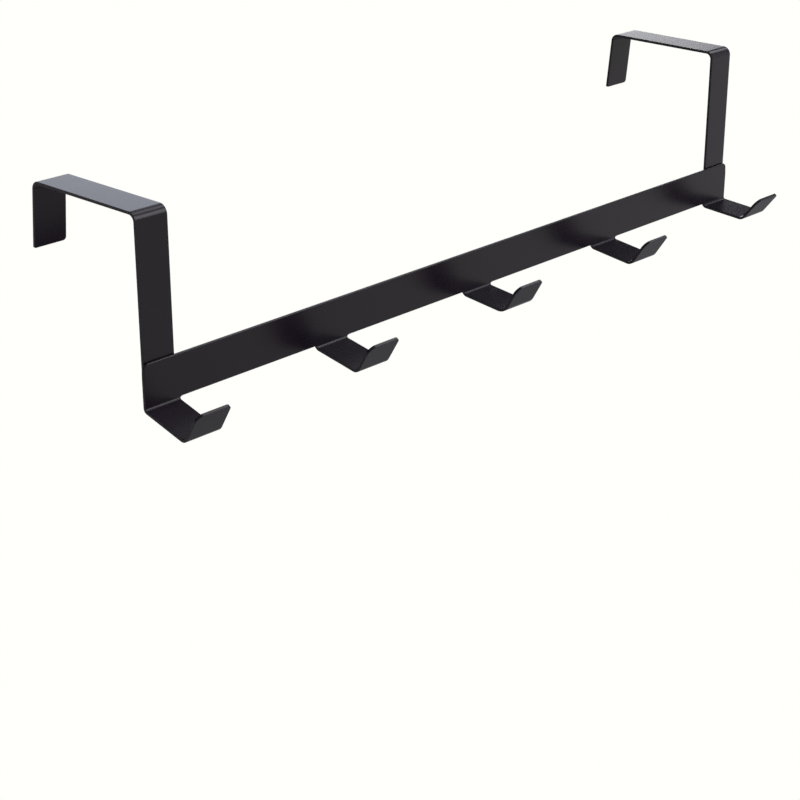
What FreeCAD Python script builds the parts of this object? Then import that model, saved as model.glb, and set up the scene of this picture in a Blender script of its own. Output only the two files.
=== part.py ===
import FreeCAD, Part
import math
import os

# Over-door hook rack of bent sheet steel: one flat rail with five hooks pressed out of its
# bottom edge, and two flat straps that fold over the top of a door.
# Millimetres, +Z up, +X to the right of a person who faces the hooks, +Y into the door.
# The origin is on the door's front top edge, midway between the straps.

# Sheet
SHEET = 1.0

# Rail
RAIL_LENGTH = 300.0
RAIL_HEIGHT = 14.0
RAIL_CORNER_RADIUS = 2.0
RAIL_DROP = 45.5            # from the door's top down to the rail's top edge

# Door straps
DOOR_GAP = 47.0             # between the legs of a strap, at the door's top
STRAP_WIDTH = 12.0
STRAP_INSET = 0.9           # from the rail's end to the strap's side
STRAP_BEND_RADIUS = 2.0     # inside the bend
BACK_LEG_HEIGHT = 22.0      # from the strap's top face down to the leg's lower end
BACK_LEG_SPLAY_DEG = 5.5    # the leg leans away from the door on its way down
BACK_LEG_LEFT_RADIUS = 0.3  # the leg's lower corner on the left is nearly sharp
BACK_LEG_RIGHT_RADIUS = 1.2

# Hooks
HOOK_WIDTH = 13.5
HOOK_ARM_LENGTH = 16.0      # straight part of the arm
HOOK_ROOT_RADIUS = 0.8      # inside the bend between rail and arm
HOOK_TOE_RADIUS = 1.7       # inside the bend between arm and flap
HOOK_FLAP_LENGTH = 10.0     # straight part of the flap
HOOK_FLAP_LEFT_RADIUS = 2.7
HOOK_FLAP_RIGHT_RADIUS = 1.6
HOOK_ROOT_FILLET = 1.0      # flat fillet between the rail's bottom edge and a hook's side

# The press leaves each hook at an angle of its own. Left to right, one value for each hook:
ARM_DROP_DEG = (15.0, 10.0, 6.0, 7.0, 4.0)        # arm below level
FLAP_RISE_DEG = (60.0, 59.0, 60.0, 56.0, 52.0)    # flap above level

# Places that follow from the sizes
HOOK_COUNT = len(ARM_DROP_DEG)
HOOK_PITCH = (RAIL_LENGTH - HOOK_WIDTH) / (HOOK_COUNT - 1)
RAIL_LEFT = -RAIL_LENGTH / 2
RAIL_RIGHT = RAIL_LENGTH / 2
RAIL_TOP = -RAIL_DROP
RAIL_BOTTOM = RAIL_TOP - RAIL_HEIGHT
RAIL_BACK = -SHEET          # the rail lies against the straps' front faces
RAIL_FRONT = RAIL_BACK - SHEET

DOWN = -90.0
UP = 90.0


def heading(degrees):
    """Unit direction in the YZ plane: 0 points to +Y and 90 to +Z."""
    angle = math.radians(degrees)
    return FreeCAD.Vector(0, math.cos(angle), math.sin(angle))


def run(length):
    """One straight stretch of a sheet."""
    return ("run", length, 0.0)


def bend(degrees, inside_radius):
    """One bend of a sheet: positive turns left and negative turns right along the walk."""
    return ("bend", degrees, inside_radius)


def sheet_profile(start, direction, moves):
    """Side view of a bent sheet, as a closed face in the YZ plane.

    The walk follows the sheet's left side from start. The right side is one thickness away.
    """
    left, angle = start, direction
    right = left + heading(angle - 90) * SHEET
    edges = [Part.makeLine(left, right)]
    for kind, amount, inside_radius in moves:
        if kind == "run":
            ends = [point + heading(angle) * amount for point in (left, right)]
            edges += [Part.makeLine(left, ends[0]), Part.makeLine(right, ends[1])]
        else:
            side = math.copysign(90, amount)
            inner = left if amount > 0 else right
            centre = inner + heading(angle + side) * inside_radius
            ends = []
            for point in (left, right):
                radius = (point - centre).Length
                middle = centre + heading(angle - side + amount / 2) * radius
                end = centre + heading(angle - side + amount) * radius
                edges.append(Part.Arc(point, middle, end).toShape())
                ends.append(end)
            angle += amount
        left, right = ends
    edges.append(Part.makeLine(left, right))
    return Part.Face(Part.Wire(Part.__sortEdges__(edges)))


def extruded(profile, x_start, width):
    """Gives a side view its width along the rail."""
    solid = profile.extrude(FreeCAD.Vector(width, 0, 0))
    solid.translate(FreeCAD.Vector(x_start, 0, 0))
    return solid


def round_corners(solid, radius, wanted):
    """Rounds the sheet's corners: the edges as long as the sheet is thick that wanted() picks."""
    tolerance = SHEET / 100
    corners = [
        edge for edge in solid.Edges
        if abs(edge.Length - SHEET) < tolerance and wanted(edge.CenterOfMass)
    ]
    return solid.makeFillet(radius, corners)


def round_end(strip, x_left, width, left_radius, right_radius, at_end):
    """Rounds the two corners of a strip's end, each with a radius of its own."""
    x_middle = x_left + width / 2
    strip = round_corners(
        strip, left_radius, lambda point: at_end(point) and point.x < x_middle
    )
    return round_corners(
        strip, right_radius, lambda point: at_end(point) and point.x > x_middle
    )


def rail_plate():
    """The flat rail with its two upper corners rounded."""
    plate = Part.makeBox(
        RAIL_LENGTH, SHEET, RAIL_HEIGHT, FreeCAD.Vector(RAIL_LEFT, RAIL_FRONT, RAIL_BOTTOM)
    )
    middle = (RAIL_TOP + RAIL_BOTTOM) / 2
    return round_corners(plate, RAIL_CORNER_RADIUS, lambda point: point.z > middle)


def root_flare(profile, x_side, outward):
    """The fillet that widens a hook to one side, where it leaves the rail's bottom edge.

    profile is the hook's side view, x_side the hook's side and outward is 1 or -1.
    """
    radius = HOOK_ROOT_FILLET
    reach = outward * radius
    depth = 2 * SHEET + HOOK_ROOT_RADIUS + radius
    corner = FreeCAD.Vector(x_side, RAIL_BACK - depth, RAIL_BOTTOM)
    tip = corner + FreeCAD.Vector(reach, 0, 0)
    foot = corner + FreeCAD.Vector(0, 0, -radius)
    centre = corner + FreeCAD.Vector(reach, 0, -radius)
    on_arc = centre + FreeCAD.Vector(-outward, 0, 1) * (radius * math.sqrt(0.5))
    outline = Part.Wire([
        Part.makeLine(corner, tip),
        Part.Arc(tip, on_arc, foot).toShape(),
        Part.makeLine(foot, corner),
    ])
    mask = Part.Face(outline).extrude(FreeCAD.Vector(0, depth, 0))
    return extruded(profile, min(x_side, x_side + reach), radius).common(mask)


def hook(number):
    """One hook of the rail, as the solids that join onto the rail's bottom edge."""
    drop, rise = ARM_DROP_DEG[number], FLAP_RISE_DEG[number]
    x_left = RAIL_LEFT + number * HOOK_PITCH
    start = FreeCAD.Vector(0, RAIL_BACK, RAIL_BOTTOM)
    root_bend = bend(drop - 90, HOOK_ROOT_RADIUS)
    toe_bend = bend(-drop - rise, HOOK_TOE_RADIUS)
    moves = [root_bend, run(HOOK_ARM_LENGTH), toe_bend, run(HOOK_FLAP_LENGTH)]
    strip = extruded(sheet_profile(start, DOWN, moves), x_left, HOOK_WIDTH)
    toe_y = RAIL_FRONT - HOOK_ARM_LENGTH * math.cos(math.radians(drop))
    solids = [round_end(
        strip, x_left, HOOK_WIDTH, HOOK_FLAP_LEFT_RADIUS, HOOK_FLAP_RIGHT_RADIUS,
        lambda point: point.y < toe_y,
    )]
    root = sheet_profile(start, DOWN, [root_bend, run(HOOK_ROOT_FILLET)])
    if number > 0:
        solids.append(root_flare(root, x_left, -1))
    if number < HOOK_COUNT - 1:
        solids.append(root_flare(root, x_left + HOOK_WIDTH, 1))
    return solids


def hook_rail():
    """The rail and its hooks, cut and bent from one sheet."""
    solids = [solid for number in range(HOOK_COUNT) for solid in hook(number)]
    return rail_plate().fuse(solids).removeSplitter()


def door_bracket(x_left):
    """A strap behind the rail that goes up the door, over its top and a little down its back."""
    back_turn = 90 - BACK_LEG_SPLAY_DEG
    back_tangent = STRAP_BEND_RADIUS * math.tan(math.radians(back_turn / 2))
    back_leg = (BACK_LEG_HEIGHT - SHEET) / math.cos(math.radians(BACK_LEG_SPLAY_DEG))
    start = FreeCAD.Vector(0, -SHEET, RAIL_BOTTOM)
    moves = [
        run(-STRAP_BEND_RADIUS - RAIL_BOTTOM),
        bend(-90, STRAP_BEND_RADIUS),
        run(DOOR_GAP - STRAP_BEND_RADIUS - back_tangent),
        bend(-back_turn, STRAP_BEND_RADIUS),
        run(back_leg - back_tangent),
    ]
    strip = extruded(sheet_profile(start, UP, moves), x_left, STRAP_WIDTH)
    return round_end(
        strip, x_left, STRAP_WIDTH, BACK_LEG_LEFT_RADIUS, BACK_LEG_RIGHT_RADIUS,
        lambda point: point.y > DOOR_GAP - SHEET,
    )


PARTS = {
    "hook_rail": hook_rail(),
    "left_door_bracket": door_bracket(RAIL_LEFT + STRAP_INSET),
    "right_door_bracket": door_bracket(RAIL_RIGHT - STRAP_INSET - STRAP_WIDTH),
}

os.makedirs("parts", exist_ok=True)
for name, shape in PARTS.items():
    solid = shape.Solids[0] if len(shape.Solids) == 1 else shape
    solid.exportStep(f"parts/{name}.step")
    box = solid.BoundBox
    print(
        f"{name}: {len(shape.Solids)} solid, valid {solid.isValid()}, volume {solid.Volume:.1f} mm3, "
        f"x {box.XMin:.2f} to {box.XMax:.2f}, y {box.YMin:.2f} to {box.YMax:.2f}, "
        f"z {box.ZMin:.2f} to {box.ZMax:.2f}"
    )
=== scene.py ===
"""Over-door hook rack: a flat steel rail with five hooks, hung from two straps, in satin black paint.

Metres, +Z up, +X to the right of a person who faces the hooks, +Y into the door. The origin is
on the door's front top edge, midway between the straps.
"""

import math

import bmesh
import bpy
from bpy.props import (
    FloatProperty,
    FloatVectorProperty,
    IntProperty,
    PointerProperty,
)
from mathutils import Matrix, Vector


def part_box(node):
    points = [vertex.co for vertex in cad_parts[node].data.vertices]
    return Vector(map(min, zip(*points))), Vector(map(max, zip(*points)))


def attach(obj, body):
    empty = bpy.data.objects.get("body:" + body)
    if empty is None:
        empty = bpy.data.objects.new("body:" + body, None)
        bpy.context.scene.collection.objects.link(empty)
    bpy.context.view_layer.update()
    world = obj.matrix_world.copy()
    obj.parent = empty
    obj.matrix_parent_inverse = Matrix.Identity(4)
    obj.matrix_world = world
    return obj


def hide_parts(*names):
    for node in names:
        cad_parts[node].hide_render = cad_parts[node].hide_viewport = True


bl_info = {
    "name": "Over-Door Hook Rack",
    "version": (1, 0, 0),
    "blender": (4, 5, 0),
    "location": "3D View > Sidebar > Hook Rack",
    "description": "Models a bent steel rack that hangs over a door, with its paint and its studio",
    "category": "Object",
}

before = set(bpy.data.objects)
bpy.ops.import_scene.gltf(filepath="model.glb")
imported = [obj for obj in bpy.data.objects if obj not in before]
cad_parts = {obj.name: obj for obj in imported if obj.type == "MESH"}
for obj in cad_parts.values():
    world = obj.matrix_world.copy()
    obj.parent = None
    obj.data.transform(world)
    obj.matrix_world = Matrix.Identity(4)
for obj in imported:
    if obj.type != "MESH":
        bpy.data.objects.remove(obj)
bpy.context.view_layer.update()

HOOK_COUNT = 5
MM = 0.001
UP = math.radians(90)
DOWN = math.radians(-90)
MERGE_DISTANCE = 1e-6
PLACE_TOLERANCE = 1e-5
CUT_ANGLE = math.radians(50)             # the sheet's faces meet at more than this along a cut edge
NOISE_MIDDLE = 0.5                       # the value about which a noise pattern varies

# Places that the frame gives
RAIL_LOW, RAIL_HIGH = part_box("hook_rail")
LEFT_STRAP_LOW, LEFT_STRAP_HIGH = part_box("left_door_bracket")
RIGHT_STRAP_LOW, RIGHT_STRAP_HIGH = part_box("right_door_bracket")
SHEET = LEFT_STRAP_HIGH.z                # the strap's underside lies on the door at height 0
RAIL_FRONT = RAIL_HIGH.y - SHEET
RAIL_BOTTOM = LEFT_STRAP_LOW.z           # the strap ends level with the rail's bottom edge


def degrees(*angles):
    """Angles in radians, as Blender's angle properties keep them."""
    return tuple(math.radians(angle) for angle in angles)


class RackSheetSizes(bpy.types.PropertyGroup):
    """The steel sheet that every piece is cut and bent from."""

    thickness: FloatProperty(
        name="Thickness", description="Thickness of the painted sheet",
        default=SHEET, min=0.2 * MM, unit="LENGTH",
    )
    edge_radius: FloatProperty(
        name="Edge radius", description="How far the paint rounds the sheet's cut edges",
        default=0.10 * MM, min=0.02 * MM, unit="LENGTH",
    )
    rim_radius: FloatProperty(
        name="Rim radius", description="How far the paint rounds the rail's upper edge",
        default=0.42 * MM, min=0.02 * MM, unit="LENGTH",
    )
    edge_steps: IntProperty(
        name="Edge steps", description="Faces across a rounded edge", default=3, min=1,
    )
    bend_steps: IntProperty(
        name="Bend steps", description="Faces along a bend of the sheet", default=12, min=2,
    )
    corner_steps: IntProperty(
        name="Corner steps", description="Faces around a rounded corner of the sheet",
        default=8, min=2,
    )
    sharp_corner_steps: IntProperty(
        name="Sharp corner steps", description="Faces around a corner that is nearly sharp",
        default=2, min=1,
    )


class RackHookSizes(bpy.types.PropertyGroup):
    """The rail's outline and the hooks that are bent out of its bottom edge."""

    rail_corner: FloatProperty(
        name="Rail corner", description="Radius of the rail's two upper corners",
        default=2.0 * MM, unit="LENGTH",
    )
    width: FloatProperty(
        name="Hook width", description="Width of a hook along the rail",
        default=13.5 * MM, unit="LENGTH",
    )
    arm_length: FloatProperty(
        name="Arm length", description="Straight part of the arm that leaves the rail",
        default=16.0 * MM, unit="LENGTH",
    )
    flap_length: FloatProperty(
        name="Flap length", description="Straight part of the upturned end",
        default=10.0 * MM, unit="LENGTH",
    )
    root_radius: FloatProperty(
        name="Root radius", description="Inside radius of the bend between rail and arm",
        default=0.8 * MM, unit="LENGTH",
    )
    toe_radius: FloatProperty(
        name="Toe radius", description="Inside radius of a tight bend between arm and flap",
        default=1.7 * MM, unit="LENGTH",
    )
    toe_easing: FloatVectorProperty(
        name="Toe easing", description="How much rounder each hook's toe is, from left to right",
        size=HOOK_COUNT, unit="LENGTH", default=(0.2 * MM, 0.2 * MM, 2.4 * MM, 0.8 * MM, 0.5 * MM),
    )
    left_corner: FloatProperty(
        name="Left corner", description="Radius of the flap's left corner",
        default=2.7 * MM, unit="LENGTH",
    )
    right_corner: FloatProperty(
        name="Right corner", description="Radius of the flap's right corner",
        default=1.6 * MM, unit="LENGTH",
    )
    root_fillet: FloatProperty(
        name="Root fillet", description="Flat fillet between the rail's bottom edge and a hook's side",
        default=1.0 * MM, unit="LENGTH",
    )
    arm_drop: FloatVectorProperty(
        name="Arm drop", description="How far each arm points below level, from left to right",
        size=HOOK_COUNT, unit="ROTATION", default=degrees(15, 10, 6, 7, 4),
    )
    flap_rise: FloatVectorProperty(
        name="Flap rise", description="How far each flap points above level, from left to right",
        size=HOOK_COUNT, unit="ROTATION", default=degrees(60, 59, 60, 56, 52),
    )


class RackStrapSizes(bpy.types.PropertyGroup):
    """The straps that fold over the door's top."""

    door_gap: FloatProperty(
        name="Door gap", description="Distance between a strap's legs at the door's top",
        default=47.0 * MM, unit="LENGTH",
    )
    bend_radius: FloatProperty(
        name="Bend radius", description="Inside radius of a strap's bends",
        default=2.0 * MM, unit="LENGTH",
    )
    back_leg_height: FloatProperty(
        name="Back leg height", description="From the strap's top face down to the leg's lower end",
        default=22.0 * MM, unit="LENGTH",
    )
    back_leg_splay: FloatProperty(
        name="Back leg splay", description="How far the back leg leans away from the door",
        default=math.radians(5.5), subtype="ANGLE",
    )
    left_corner: FloatProperty(
        name="Left corner", description="Radius of the back leg's lower left corner",
        default=0.3 * MM, unit="LENGTH",
    )
    right_corner: FloatProperty(
        name="Right corner", description="Radius of the back leg's lower right corner",
        default=1.2 * MM, unit="LENGTH",
    )


class RackPaint(bpy.types.PropertyGroup):
    """The satin black paint."""

    colour: FloatVectorProperty(
        name="Colour", description="Colour of the paint", subtype="COLOR",
        size=4, default=(0.0040, 0.0021, 0.0064, 1.0), min=0.0, max=1.0,
    )
    thin_colour: FloatVectorProperty(
        name="Thin colour", description="Colour of the paint where its film is thinner",
        subtype="COLOR", size=4, default=(0.0088, 0.0034, 0.0098, 1.0), min=0.0, max=1.0,
    )
    roughness: FloatProperty(
        name="Roughness", description="Roughness of the satin surface",
        default=0.28, min=0.0, max=1.0, subtype="FACTOR",
    )
    specular: FloatProperty(
        name="Specular level", description="Strength of the paint's reflection seen head-on",
        default=0.21, min=0.0, max=1.0, subtype="FACTOR",
    )
    cloud_gloss: FloatProperty(
        name="Cloud gloss", description="How much the roughness changes with the paint's film",
        default=0.05, min=0.0, max=1.0, subtype="FACTOR",
    )
    grain_gloss: FloatProperty(
        name="Grain gloss", description="How much the roughness changes with the grain",
        default=0.04, min=0.0, max=1.0, subtype="FACTOR",
    )
    grain_size: FloatProperty(
        name="Grain size", description="Width of the fine grain in the paint",
        default=0.45 * MM, unit="LENGTH",
    )
    grain_height: FloatProperty(
        name="Grain height", description="Height of the fine grain in the paint",
        default=0.0009 * MM, unit="LENGTH",
    )
    grain_detail: FloatProperty(
        name="Grain detail", description="Finer layers within the grain",
        default=1.5, min=0.0, max=15.0,
    )
    cloud_size: FloatProperty(
        name="Cloud size", description="Width of the slow changes in the paint's film",
        default=18.0 * MM, unit="LENGTH",
    )
    cloud_detail: FloatProperty(
        name="Cloud detail", description="Finer layers within those changes",
        default=2.0, min=0.0, max=15.0,
    )
    strap_shift: FloatProperty(
        name="Strap shift", description="How far the straps' pattern is moved against the rail's",
        default=0.3, unit="LENGTH",
    )


class RackStudio(bpy.types.PropertyGroup):
    """The floor, the light and the camera."""

    background: FloatVectorProperty(
        name="Background", description="Colour of the far floor behind the rack",
        subtype="COLOR", size=4, default=(1.0, 1.0, 0.965, 1.0), min=0.0, max=1.0,
    )
    floor_colour: FloatVectorProperty(
        name="Floor colour", description="Colour of the floor below the rack",
        subtype="COLOR", size=4, default=(0.72, 0.72, 0.71, 1.0), min=0.0, max=1.0,
    )
    floor_size: FloatProperty(
        name="Floor size", description="Width and depth of the floor",
        default=120.0, unit="LENGTH",
    )
    floor_drop: FloatProperty(
        name="Floor drop", description="Height of the door's top above the floor",
        default=2.0, unit="LENGTH",
    )
    floor_zone: FloatVectorProperty(
        name="Lit floor", description="Middle of the round part of the floor that mirrors less bright",
        subtype="TRANSLATION", unit="LENGTH", default=(2.4, -0.3, 0.0),
    )
    floor_zone_inner: FloatProperty(
        name="Lit floor radius", description="Radius within which the floor shows as lit in the rack",
        default=2.2, unit="LENGTH",
    )
    floor_zone_outer: FloatProperty(
        name="White floor radius", description="Radius beyond which the floor shows as white in it",
        default=2.6, unit="LENGTH",
    )
    key_place: FloatVectorProperty(
        name="Key place", description="Middle of the soft light in front, to the right",
        subtype="TRANSLATION", unit="LENGTH", default=(0.87, -1.11, 0.75),
    )
    key_size: FloatVectorProperty(
        name="Key size", description="Width and height of that light",
        size=2, unit="LENGTH", default=(0.9, 0.8),
    )
    key_power: FloatProperty(
        name="Key power", description="Power of that light",
        default=14.0, min=0.0, unit="POWER",
    )
    top_place: FloatVectorProperty(
        name="Top place", description="Middle of the soft light above, to the right",
        subtype="TRANSLATION", unit="LENGTH", default=(0.84, -0.03, 1.26),
    )
    top_size: FloatVectorProperty(
        name="Top size", description="Width and height of that light",
        size=2, unit="LENGTH", default=(0.7, 0.6),
    )
    top_power: FloatProperty(
        name="Top power", description="Power of that light",
        default=4.6, min=0.0, unit="POWER",
    )
    side_place: FloatVectorProperty(
        name="Side place", description="Middle of the soft light to the right",
        subtype="TRANSLATION", unit="LENGTH", default=(1.47, 0.08, 1.03),
    )
    side_size: FloatVectorProperty(
        name="Side size", description="Width and height of that light",
        size=2, unit="LENGTH", default=(0.5, 0.5),
    )
    side_power: FloatProperty(
        name="Side power", description="Power of that light",
        default=2.8, min=0.0, unit="POWER",
    )
    light_colour: FloatVectorProperty(
        name="Light colour", description="Colour of every soft light but the panel", subtype="COLOR",
        default=(0.96, 0.97, 1.0), min=0.0, max=1.0,
    )
    strip_place: FloatVectorProperty(
        name="Strip place", description="Middle of the low strip light behind the rack",
        subtype="TRANSLATION", unit="LENGTH", default=(2.15, 1.6, 0.36),
    )
    strip_size: FloatVectorProperty(
        name="Strip size", description="Width and height of the strip light",
        size=2, unit="LENGTH", default=(0.8, 0.5),
    )
    strip_power: FloatProperty(
        name="Strip power", description="Power of the strip light",
        default=4.0, min=0.0, unit="POWER",
    )
    panel_place: FloatVectorProperty(
        name="Panel place", description="Middle of the taller light to the left of the strip light",
        subtype="TRANSLATION", unit="LENGTH", default=(1.225, 1.6, 0.70),
    )
    panel_size: FloatVectorProperty(
        name="Panel size", description="Width and height of that light",
        size=2, unit="LENGTH", default=(1.05, 1.2),
    )
    panel_power: FloatProperty(
        name="Panel power", description="Power of that light",
        default=7.1, min=0.0, unit="POWER",
    )
    panel_colour: FloatVectorProperty(
        name="Panel colour", description="Colour of that taller light", subtype="COLOR",
        default=(0.82, 0.88, 1.0), min=0.0, max=1.0,
    )
    card_place: FloatVectorProperty(
        name="Card place", description="Middle of the pale card behind the rack, to the left",
        subtype="TRANSLATION", unit="LENGTH", default=(-0.95, 0.95, -0.35),
    )
    card_size: FloatProperty(
        name="Card size", description="Width and height of the card", default=1.6, unit="LENGTH",
    )
    card_colour: FloatVectorProperty(
        name="Card colour", description="Colour of the card", subtype="COLOR",
        size=4, default=(0.92, 0.92, 0.92, 1.0), min=0.0, max=1.0,
    )
    camera_place: FloatVectorProperty(
        name="Camera place", description="Where the camera stands",
        subtype="TRANSLATION", unit="LENGTH", default=(-0.48078, -0.42084, 0.16671),
    )
    camera_yaw: FloatProperty(
        name="Camera yaw", description="Turn of the view from +Y towards +X",
        default=math.radians(46.491), subtype="ANGLE",
    )
    camera_pitch: FloatProperty(
        name="Camera pitch", description="How far the camera looks down",
        default=math.radians(22.913), subtype="ANGLE",
    )
    camera_lens: FloatProperty(
        name="Camera lens", description="Focal length in millimetres",
        default=86.57, min=1.0, unit="CAMERA",
    )
    camera_sensor: FloatProperty(
        name="Camera sensor", description="Width of the sensor in millimetres",
        default=36.0, min=1.0, unit="CAMERA",
    )
    camera_near: FloatProperty(
        name="Camera near limit", description="Nearest distance that the camera shows",
        default=0.01, unit="LENGTH",
    )


class Number:
    """One number on a shader socket. Arithmetic on it adds Math nodes."""

    def __init__(self, shader, socket):
        self.shader = shader
        self.socket = socket

    def maths(self, operation, first, second):
        node = self.shader.node(
            "ShaderNodeMath", {"operation": operation}, {0: first, 1: second}
        )
        return Number(self.shader, node.outputs[0])

    def __add__(self, other):
        return self.maths("ADD", self, other)

    __radd__ = __add__

    def __sub__(self, other):
        return self.maths("SUBTRACT", self, other)

    def __rsub__(self, other):
        return self.maths("SUBTRACT", other, self)

    def __mul__(self, other):
        return self.maths("MULTIPLY", self, other)

    __rmul__ = __mul__

    def __truediv__(self, other):
        return self.maths("DIVIDE", self, other)

    def __rtruediv__(self, other):
        return self.maths("DIVIDE", other, self)

    def at_least(self, other):
        return self.maths("MAXIMUM", self, other)

    def at_most(self, other):
        return self.maths("MINIMUM", self, other)


class Shader:
    """A node tree that starts empty, with one method that adds any node."""

    def __init__(self, tree):
        self.tree = tree
        self.tree.nodes.clear()

    def node(self, kind, settings=None, sockets=None):
        """Adds a node, sets its settings, and then fills its sockets with values or links."""
        node = self.tree.nodes.new(kind)
        for name, value in (settings or {}).items():
            if name == "stops":
                set_stops(node.color_ramp, value)
            else:
                setattr(node, name, value)
        for key, value in (sockets or {}).items():
            socket = node.inputs[key] if isinstance(key, int) else open_input(node, key)
            source = value.socket if isinstance(value, Number) else value
            if isinstance(source, bpy.types.NodeSocket):
                self.tree.links.new(source, socket)
            else:
                socket.default_value = source
        return node

    def number(self, kind, output, settings=None, sockets=None):
        """Adds a node and gives one of its outputs as a Number."""
        return Number(self, self.node(kind, settings, sockets).outputs[output])

    def noise(self, place, size, detail):
        """A soft random pattern from 0 to 1, with spots about as wide as size."""
        sockets = {"Vector": place, "Scale": 1 / size, "Detail": detail}
        return self.number("ShaderNodeTexNoise", "Fac", {}, sockets)

    def mix(self, factor, first, second):
        """A colour between two colours."""
        settings = {"data_type": "RGBA"}
        node = self.node("ShaderNodeMix", settings, {"Factor": factor, "A": first, "B": second})
        return next(output for output in node.outputs if output.enabled)


def open_input(node, name):
    """The input of that name that the node's settings leave in use."""
    return next(socket for socket in node.inputs if socket.enabled and socket.name == name)


def set_stops(ramp, stops):
    """Gives a colour ramp its stops, as (position, colour) pairs."""
    while len(ramp.elements) < len(stops):
        ramp.elements.new(1.0)
    for element, (position, colour) in zip(ramp.elements, stops):
        element.position = position
        element.color = colour


def satin_paint(name, paint, shift):
    """Satin black paint on steel: a fine grain, and slow changes of tint and gloss.

    shift moves the pattern, so that each piece shows another part of it.
    """
    material = bpy.data.materials.new(name)
    material.use_nodes = True
    shader = Shader(material.node_tree)
    place = shader.node("ShaderNodeTexCoord").outputs["Object"]
    moved = shader.node(
        "ShaderNodeMapping", {"vector_type": "POINT"}, {"Vector": place, "Location": shift}
    ).outputs["Vector"]
    clouds = shader.noise(moved, paint.cloud_size, paint.cloud_detail)
    grain = shader.noise(moved, paint.grain_size, paint.grain_detail)
    colour = shader.mix(clouds, tuple(paint.colour), tuple(paint.thin_colour))
    film_gloss = (clouds - NOISE_MIDDLE) * paint.cloud_gloss
    grain_gloss = (grain - NOISE_MIDDLE) * paint.grain_gloss
    roughness = paint.roughness + film_gloss + grain_gloss
    bump = shader.node("ShaderNodeBump", {}, {"Distance": paint.grain_height, "Height": grain})
    surface = shader.node("ShaderNodeBsdfPrincipled", {}, {
        "Base Color": colour,
        "Roughness": roughness,
        "Specular IOR Level": paint.specular,
        "Normal": bump.outputs["Normal"],
    })
    shader.node("ShaderNodeOutputMaterial", {}, {"Surface": surface.outputs["BSDF"]})
    return material


def direction(angle):
    """Unit direction in the YZ plane: 0 points to +Y, and a quarter turn to +Z."""
    return Vector((0.0, math.cos(angle), math.sin(angle)))


def near(value, target):
    """Whether two places are the same."""
    return abs(value - target) < PLACE_TOLERANCE


def upright_plate(name, x_range, z_range, y):
    """A flat plate in the XZ plane, left in edit mode with its place in its mesh."""
    width = x_range[1] - x_range[0]
    height = z_range[1] - z_range[0]
    middle = (sum(x_range) / 2, y, sum(z_range) / 2)
    bpy.ops.object.select_all(action="DESELECT")
    bpy.ops.mesh.primitive_plane_add(size=width, location=middle, rotation=(UP, 0, 0))
    piece = bpy.context.active_object
    piece.name = name
    piece.data.name = name
    bpy.ops.object.transform_apply(location=True, rotation=True, scale=True)
    bpy.ops.object.mode_set(mode="EDIT")
    bpy.ops.transform.resize(value=(1, 1, height / width), center_override=middle)
    return piece


def pick(piece, kind, wanted):
    """Selects only the points or edges whose every point wanted() accepts."""
    bpy.ops.mesh.select_mode(type=kind)
    bpy.ops.mesh.select_all(action="DESELECT")
    shape = bmesh.from_edit_mesh(piece.data)
    if kind == "VERT":
        for point in shape.verts:
            point.select_set(wanted(point.co))
    else:
        for edge in shape.edges:
            edge.select_set(all(wanted(point.co) for point in edge.verts))
    shape.select_flush_mode()
    bmesh.update_edit_mesh(piece.data)


def cut_across(piece, x):
    """Cuts the flat sheet across at one place along the rail."""
    bpy.ops.mesh.select_all(action="SELECT")
    bpy.ops.mesh.bisect(plane_co=(x, 0, 0), plane_no=(1, 0, 0))


class SheetWalk:
    """Grows a sheet from its selected edge, run by run and bend by bend, seen from the side."""

    def __init__(self, place, heading):
        self.place = place
        self.heading = heading

    def run(self, length):
        """One straight stretch."""
        step = direction(self.heading) * length
        bpy.ops.mesh.extrude_edges_move(TRANSFORM_OT_translate={"value": step})
        self.place = self.place + step

    def bend(self, angle, radius, steps):
        """One bend by an angle, about a centre that lies radius away on the inner side."""
        side = math.copysign(UP, angle)
        centre = self.place + direction(self.heading + side) * radius
        bpy.ops.mesh.spin(steps=steps, angle=-angle, center=centre, axis=(1, 0, 0))
        self.heading += angle
        self.place = centre - direction(self.heading + side) * radius


def round_corners(piece, radius, steps, wanted):
    """Rounds the flat sheet's corners at the points that wanted() picks."""
    pick(piece, "VERT", wanted)
    bpy.ops.mesh.bevel(
        offset=radius, offset_type="OFFSET", segments=steps, affect="VERTICES", clamp_overlap=False
    )


def flare_root(piece, hook, x_side, outward):
    """Narrows a hook's first bend to the quarter circle that its flat root fillet follows."""
    fillet = hook.root_fillet
    wide = x_side + outward * fillet
    shape = bmesh.from_edit_mesh(piece.data)
    heights = [
        point.co.z for point in shape.verts
        if near(point.co.x, wide) and point.co.z < RAIL_BOTTOM - PLACE_TOLERANCE
    ]
    for height in heights:
        remaining = 0.0 if height == min(heights) else max(fillet - (RAIL_BOTTOM - height), 0.0)
        reach = fillet - math.sqrt(fillet ** 2 - remaining ** 2)
        pick(piece, "VERT", lambda point: near(point.x, wide) and near(point.z, height))
        bpy.ops.transform.translate(value=(outward * (reach - fillet), 0, 0))


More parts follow.
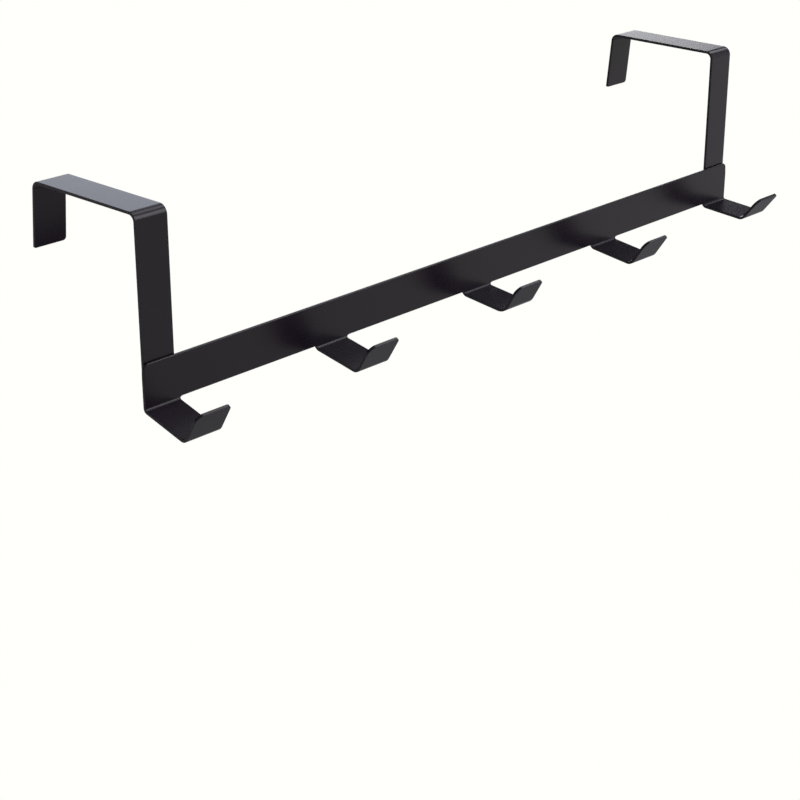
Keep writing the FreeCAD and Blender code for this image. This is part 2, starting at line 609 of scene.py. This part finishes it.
def fold_hook(piece, number, sheet, hook):
    """Bends one hook out of the rail's bottom edge."""
    pitch = (RAIL_HIGH.x - RAIL_LOW.x - hook.width) / (HOOK_COUNT - 1)
    left = RAIL_LOW.x + number * pitch
    right = left + hook.width
    flares = []
    if number > 0:
        flares.append((left, -1))
    if number < HOOK_COUNT - 1:
        flares.append((right, 1))
    low = min([left] + [x + side * hook.root_fillet for x, side in flares])
    high = max([right] + [x + side * hook.root_fillet for x, side in flares])
    drop, rise = hook.arm_drop[number], hook.flap_rise[number]
    pick(piece, "EDGE", lambda point: (
        near(point.z, RAIL_BOTTOM)
        and low - PLACE_TOLERANCE < point.x < high + PLACE_TOLERANCE
    ))
    walk = SheetWalk(Vector((0, RAIL_FRONT, RAIL_BOTTOM)), DOWN)
    walk.bend(drop - UP, hook.root_radius, sheet.bend_steps)
    for x_side, outward in flares:
        flare_root(piece, hook, x_side, outward)
    root_end = walk.place
    pick(piece, "EDGE", lambda point: (
        near(point.y, root_end.y) and near(point.z, root_end.z)
        and low - PLACE_TOLERANCE < point.x < high + PLACE_TOLERANCE
    ))
    easing = hook.toe_easing[number]
    bent_away = easing * math.tan((drop + rise) / 2)
    walk.run(hook.arm_length - bent_away)
    walk.bend(-drop - rise, hook.toe_radius + easing, sheet.bend_steps)
    walk.run(hook.flap_length - bent_away)
    tip = walk.place
    for x, radius in ((left, hook.left_corner), (right, hook.right_corner)):
        round_corners(piece, radius, sheet.corner_steps, lambda point: (
            near(point.x, x) and near(point.y, tip.y) and near(point.z, tip.z)
        ))


def weigh_edges(piece, sheet, rim_height):
    """Gives each cut edge its share of the rim's rounding. The edges above rim_height have it all."""
    shape = bmesh.new()
    shape.from_mesh(piece.data)
    weight = shape.edges.layers.float.new("bevel_weight_edge")
    for edge in shape.edges:
        if edge.calc_face_angle() > CUT_ANGLE:
            is_rim = all(point.co.z > rim_height for point in edge.verts)
            edge[weight] = 1.0 if is_rim else sheet.edge_radius / sheet.rim_radius
    shape.to_mesh(piece.data)
    shape.free()


def finish_sheet(piece, sheet, facing, rim_height=math.inf):
    """Turns the folded face outwards, gives the sheet its thickness and rounds its edges."""
    bpy.ops.mesh.select_mode(type="FACE")
    bpy.ops.mesh.select_all(action="SELECT")
    bpy.ops.mesh.remove_doubles(threshold=MERGE_DISTANCE)
    bpy.ops.mesh.normals_make_consistent(inside=False)
    shape = bmesh.from_edit_mesh(piece.data)
    largest = max(shape.faces, key=lambda face: face.calc_area())
    if largest.normal.dot(facing) < 0:
        bpy.ops.mesh.flip_normals()
    bpy.ops.object.mode_set(mode="OBJECT")
    wall = piece.modifiers.new("Sheet", "SOLIDIFY")
    wall.thickness = sheet.thickness
    wall.offset = -1.0
    wall.use_even_offset = True
    wall.use_quality_normals = True
    bpy.ops.object.modifier_apply(modifier=wall.name)
    weigh_edges(piece, sheet, rim_height)
    edges = piece.modifiers.new("Painted edges", "BEVEL")
    edges.width = sheet.rim_radius
    edges.segments = sheet.edge_steps
    edges.limit_method = "WEIGHT"
    edges.use_clamp_overlap = False
    normals = piece.modifiers.new("Flat faces", "WEIGHTED_NORMAL")
    normals.keep_sharp = True
    bpy.ops.object.shade_smooth()
    for name in ("Painted edges", "Flat faces"):
        bpy.ops.object.modifier_apply(modifier=name)


class RACK_OT_hook_rail(bpy.types.Operator):
    """Models the rail and its five hooks, cut and bent from one sheet"""

    bl_idname = "rack.hook_rail"
    bl_label = "Hook rail"

    def execute(self, context):
        sheet = context.scene.rack_sheet
        hook = context.scene.rack_hooks
        piece = upright_plate(
            "steel_hook_rail", (RAIL_LOW.x, RAIL_HIGH.x), (RAIL_BOTTOM, RAIL_HIGH.z), RAIL_FRONT
        )
        pitch = (RAIL_HIGH.x - RAIL_LOW.x - hook.width) / (HOOK_COUNT - 1)
        for number in range(HOOK_COUNT):
            left = RAIL_LOW.x + number * pitch
            if number > 0:
                cut_across(piece, left - hook.root_fillet)
            if number < HOOK_COUNT - 1:
                cut_across(piece, left + hook.width + hook.root_fillet)
        for number in range(HOOK_COUNT):
            fold_hook(piece, number, sheet, hook)
        round_corners(piece, hook.rail_corner, sheet.corner_steps, lambda point: (
            near(point.z, RAIL_HIGH.z)
            and (near(point.x, RAIL_LOW.x) or near(point.x, RAIL_HIGH.x))
        ))
        rim_height = RAIL_HIGH.z - hook.rail_corner - PLACE_TOLERANCE
        finish_sheet(piece, sheet, Vector((0, -1, 0)), rim_height)
        piece.data.materials.append(satin_paint("rail_paint", context.scene.rack_paint, (0, 0, 0)))
        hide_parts("hook_rail")
        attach(piece, "root")
        return {"FINISHED"}


def fold_strap(name, low, high, sheet, strap):
    """Models one strap: a front leg behind the rail, the door's top, and a short back leg."""
    leg_top = -strap.bend_radius
    piece = upright_plate(name, (low.x, high.x), (low.z, leg_top), 0.0)
    pick(piece, "EDGE", lambda point: near(point.z, leg_top))
    back_turn = UP - strap.back_leg_splay
    back_tangent = strap.bend_radius * math.tan(back_turn / 2)
    back_leg = (strap.back_leg_height - sheet.thickness) / math.cos(strap.back_leg_splay)
    walk = SheetWalk(Vector((0, 0, leg_top)), UP)
    walk.bend(-UP, strap.bend_radius, sheet.bend_steps)
    walk.run(strap.door_gap - strap.bend_radius - back_tangent)
    walk.bend(-back_turn, strap.bend_radius, sheet.bend_steps)
    walk.run(back_leg - back_tangent)
    tip = walk.place
    round_corners(piece, strap.left_corner, sheet.sharp_corner_steps, lambda point: (
        near(point.y, tip.y) and near(point.z, tip.z) and near(point.x, low.x)
    ))
    round_corners(piece, strap.right_corner, sheet.corner_steps, lambda point: (
        near(point.y, tip.y) and near(point.z, tip.z) and near(point.x, high.x)
    ))
    finish_sheet(piece, sheet, Vector((0, 1, 0)))
    return piece


class RACK_OT_door_straps(bpy.types.Operator):
    """Models the two straps that fold over the door's top"""

    bl_idname = "rack.door_straps"
    bl_label = "Door straps"

    def execute(self, context):
        sheet = context.scene.rack_sheet
        strap = context.scene.rack_straps
        paint = context.scene.rack_paint
        corners = {
            "left": (LEFT_STRAP_LOW, LEFT_STRAP_HIGH),
            "right": (RIGHT_STRAP_LOW, RIGHT_STRAP_HIGH),
        }
        for side, (low, high) in corners.items():
            piece = fold_strap(f"{side}_steel_strap", low, high, sheet, strap)
            shift = (low.x, paint.strap_shift, 0)
            piece.data.materials.append(satin_paint(f"{side}_strap_paint", paint, shift))
            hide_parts(f"{side}_door_bracket")
            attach(piece, "root")
        return {"FINISHED"}


def floor_material(studio):
    """A floor that the camera sees as white, and the rack too, except in a round zone."""
    material = bpy.data.materials.new("pale_floor")
    material.use_nodes = True
    shader = Shader(material.node_tree)
    rays = shader.node("ShaderNodeLightPath").outputs
    place = shader.node("ShaderNodeTexCoord").outputs["Object"]
    distance = shader.number("ShaderNodeVectorMath", "Value", {"operation": "DISTANCE"}, {
        0: place, 1: tuple(studio.floor_zone),
    })
    fade = studio.floor_zone_outer - studio.floor_zone_inner
    far = ((distance - studio.floor_zone_inner) / fade).at_least(0.0).at_most(1.0)
    mirrored = Number(shader, rays["Is Glossy Ray"]).at_least(
        Number(shader, rays["Is Transmission Ray"])
    )
    seen = Number(shader, rays["Is Camera Ray"]).at_least(mirrored * far)
    lit = shader.node("ShaderNodeBsdfDiffuse", {}, {"Color": tuple(studio.floor_colour)})
    white = shader.node("ShaderNodeEmission", {}, {"Color": tuple(studio.background)})
    surface = shader.node("ShaderNodeMixShader", {}, {
        0: seen, 1: lit.outputs["BSDF"], 2: white.outputs["Emission"],
    })
    shader.node("ShaderNodeOutputMaterial", {}, {"Surface": surface.outputs["Shader"]})
    return material


def card_material(studio):
    """The pale card that the sheet's left edges mirror."""
    material = bpy.data.materials.new("pale_card")
    material.use_nodes = True
    shader = Shader(material.node_tree)
    matt = shader.node("ShaderNodeBsdfDiffuse", {}, {"Color": tuple(studio.card_colour)})
    shader.node("ShaderNodeOutputMaterial", {}, {"Surface": matt.outputs["BSDF"]})
    return material


def studio_world():
    """A pale room with a dark band some way above the horizon. Each stop is a height and a colour."""
    world = bpy.data.worlds.new("pale_room")
    world.use_nodes = True
    bpy.context.scene.world = world
    shader = Shader(world.node_tree)
    sight = shader.node("ShaderNodeTexCoord").outputs["Generated"]
    height = shader.number("ShaderNodeSeparateXYZ", "Z", {}, {"Vector": sight})
    stops = [
        (0.00, (1.00, 1.00, 0.97, 1.0)),
        (0.10, (0.95, 0.96, 1.00, 1.0)),
        (0.22, (0.16, 0.16, 0.18, 1.0)),
        (0.33, (0.06, 0.06, 0.07, 1.0)),
        (0.45, (0.16, 0.16, 0.18, 1.0)),
        (0.60, (0.80, 0.80, 0.82, 1.0)),
        (0.80, (0.40, 0.40, 0.42, 1.0)),
        (1.00, (0.50, 0.50, 0.52, 1.0)),
    ]
    glow = shader.node("ShaderNodeValToRGB", {"stops": stops}, {"Fac": height})
    room = shader.node("ShaderNodeBackground", {}, {"Color": glow.outputs["Color"]})
    shader.node("ShaderNodeOutputWorld", {}, {"Surface": room.outputs["Background"]})


def aim(thing, target):
    """Turns a light or a card so that its front looks at a point."""
    thing.rotation_euler = (target - thing.location).to_track_quat("-Z", "Y").to_euler()


def soft_light(name, place, target, size, power, colour):
    """A rectangular soft light that the camera itself doesn't see."""
    bpy.ops.object.light_add(type="AREA", location=place)
    light = bpy.context.active_object
    light.name = name
    light.data.shape = "RECTANGLE"
    light.data.size = size[0]
    light.data.size_y = size[1]
    light.data.energy = power
    light.data.color = colour
    light.visible_camera = False
    aim(light, target)


class RACK_OT_studio(bpy.types.Operator):
    """Sets up the floor, the soft lights and the camera"""

    bl_idname = "rack.studio"
    bl_label = "Studio"

    def execute(self, context):
        studio = context.scene.rack_studio
        middle = (RAIL_LOW + RAIL_HIGH) / 2
        bpy.ops.object.select_all(action="DESELECT")
        floor_place = (0, 0, -studio.floor_drop)
        bpy.ops.mesh.primitive_plane_add(size=studio.floor_size, location=floor_place)
        floor = context.active_object
        floor.name = "pale_floor"
        floor.data.materials.append(floor_material(studio))
        studio_world()

        in_front = Vector(studio.strip_place) - Vector((0, 1, 0))
        for kind, target, colour in (
            ("key", middle, studio.light_colour),
            ("top", middle, studio.light_colour),
            ("side", middle, studio.light_colour),
            ("strip", in_front, studio.light_colour),
            ("panel", middle, studio.panel_colour),
        ):
            place = getattr(studio, f"{kind}_place")
            size = getattr(studio, f"{kind}_size")
            power = getattr(studio, f"{kind}_power")
            soft_light(f"{kind}_light", place, target, size, power, colour)

        bpy.ops.mesh.primitive_plane_add(size=studio.card_size, location=studio.card_place)
        card = context.active_object
        card.name = "pale_card"
        card.data.materials.append(card_material(studio))
        card.visible_camera = False
        card.visible_diffuse = False
        card.visible_shadow = False
        aim(card, middle)

        bpy.ops.object.camera_add(location=studio.camera_place)
        camera = context.active_object
        camera.rotation_euler = (UP - studio.camera_pitch, 0.0, -studio.camera_yaw)
        camera.data.lens = studio.camera_lens
        camera.data.sensor_width = studio.camera_sensor
        camera.data.clip_start = studio.camera_near
        context.scene.camera = camera
        context.scene.view_settings.view_transform = "Standard"
        return {"FINISHED"}


class RACK_PT_sidebar(bpy.types.Panel):
    """Lists the rack's operators and sizes in the sidebar"""

    bl_idname = "RACK_PT_sidebar"
    bl_label = "Hook Rack"
    bl_space_type = "VIEW_3D"
    bl_region_type = "UI"
    bl_category = "Hook Rack"

    def draw(self, context):
        column = self.layout.column()
        for operator in (RACK_OT_hook_rail, RACK_OT_door_straps, RACK_OT_studio):
            column.operator(operator.bl_idname)
        for name in SETTINGS:
            group = getattr(context.scene, name)
            box = self.layout.box()
            for key in group.bl_rna.properties.keys():
                if key not in ("rna_type", "name"):
                    box.prop(group, key)


SETTINGS = {
    "rack_sheet": RackSheetSizes,
    "rack_hooks": RackHookSizes,
    "rack_straps": RackStrapSizes,
    "rack_paint": RackPaint,
    "rack_studio": RackStudio,
}

CLASSES = (
    *SETTINGS.values(),
    RACK_OT_hook_rail,
    RACK_OT_door_straps,
    RACK_OT_studio,
    RACK_PT_sidebar,
)


def register():
    for kind in CLASSES:
        bpy.utils.register_class(kind)
    for name, group in SETTINGS.items():
        setattr(bpy.types.Scene, name, PointerProperty(type=group))


def unregister():
    for name in SETTINGS:
        delattr(bpy.types.Scene, name)
    for kind in reversed(CLASSES):
        bpy.utils.unregister_class(kind)


def main():
    register()
    bpy.ops.rack.hook_rail()
    bpy.ops.rack.door_straps()
    bpy.ops.rack.studio()


if __name__ == "__main__":
    main()
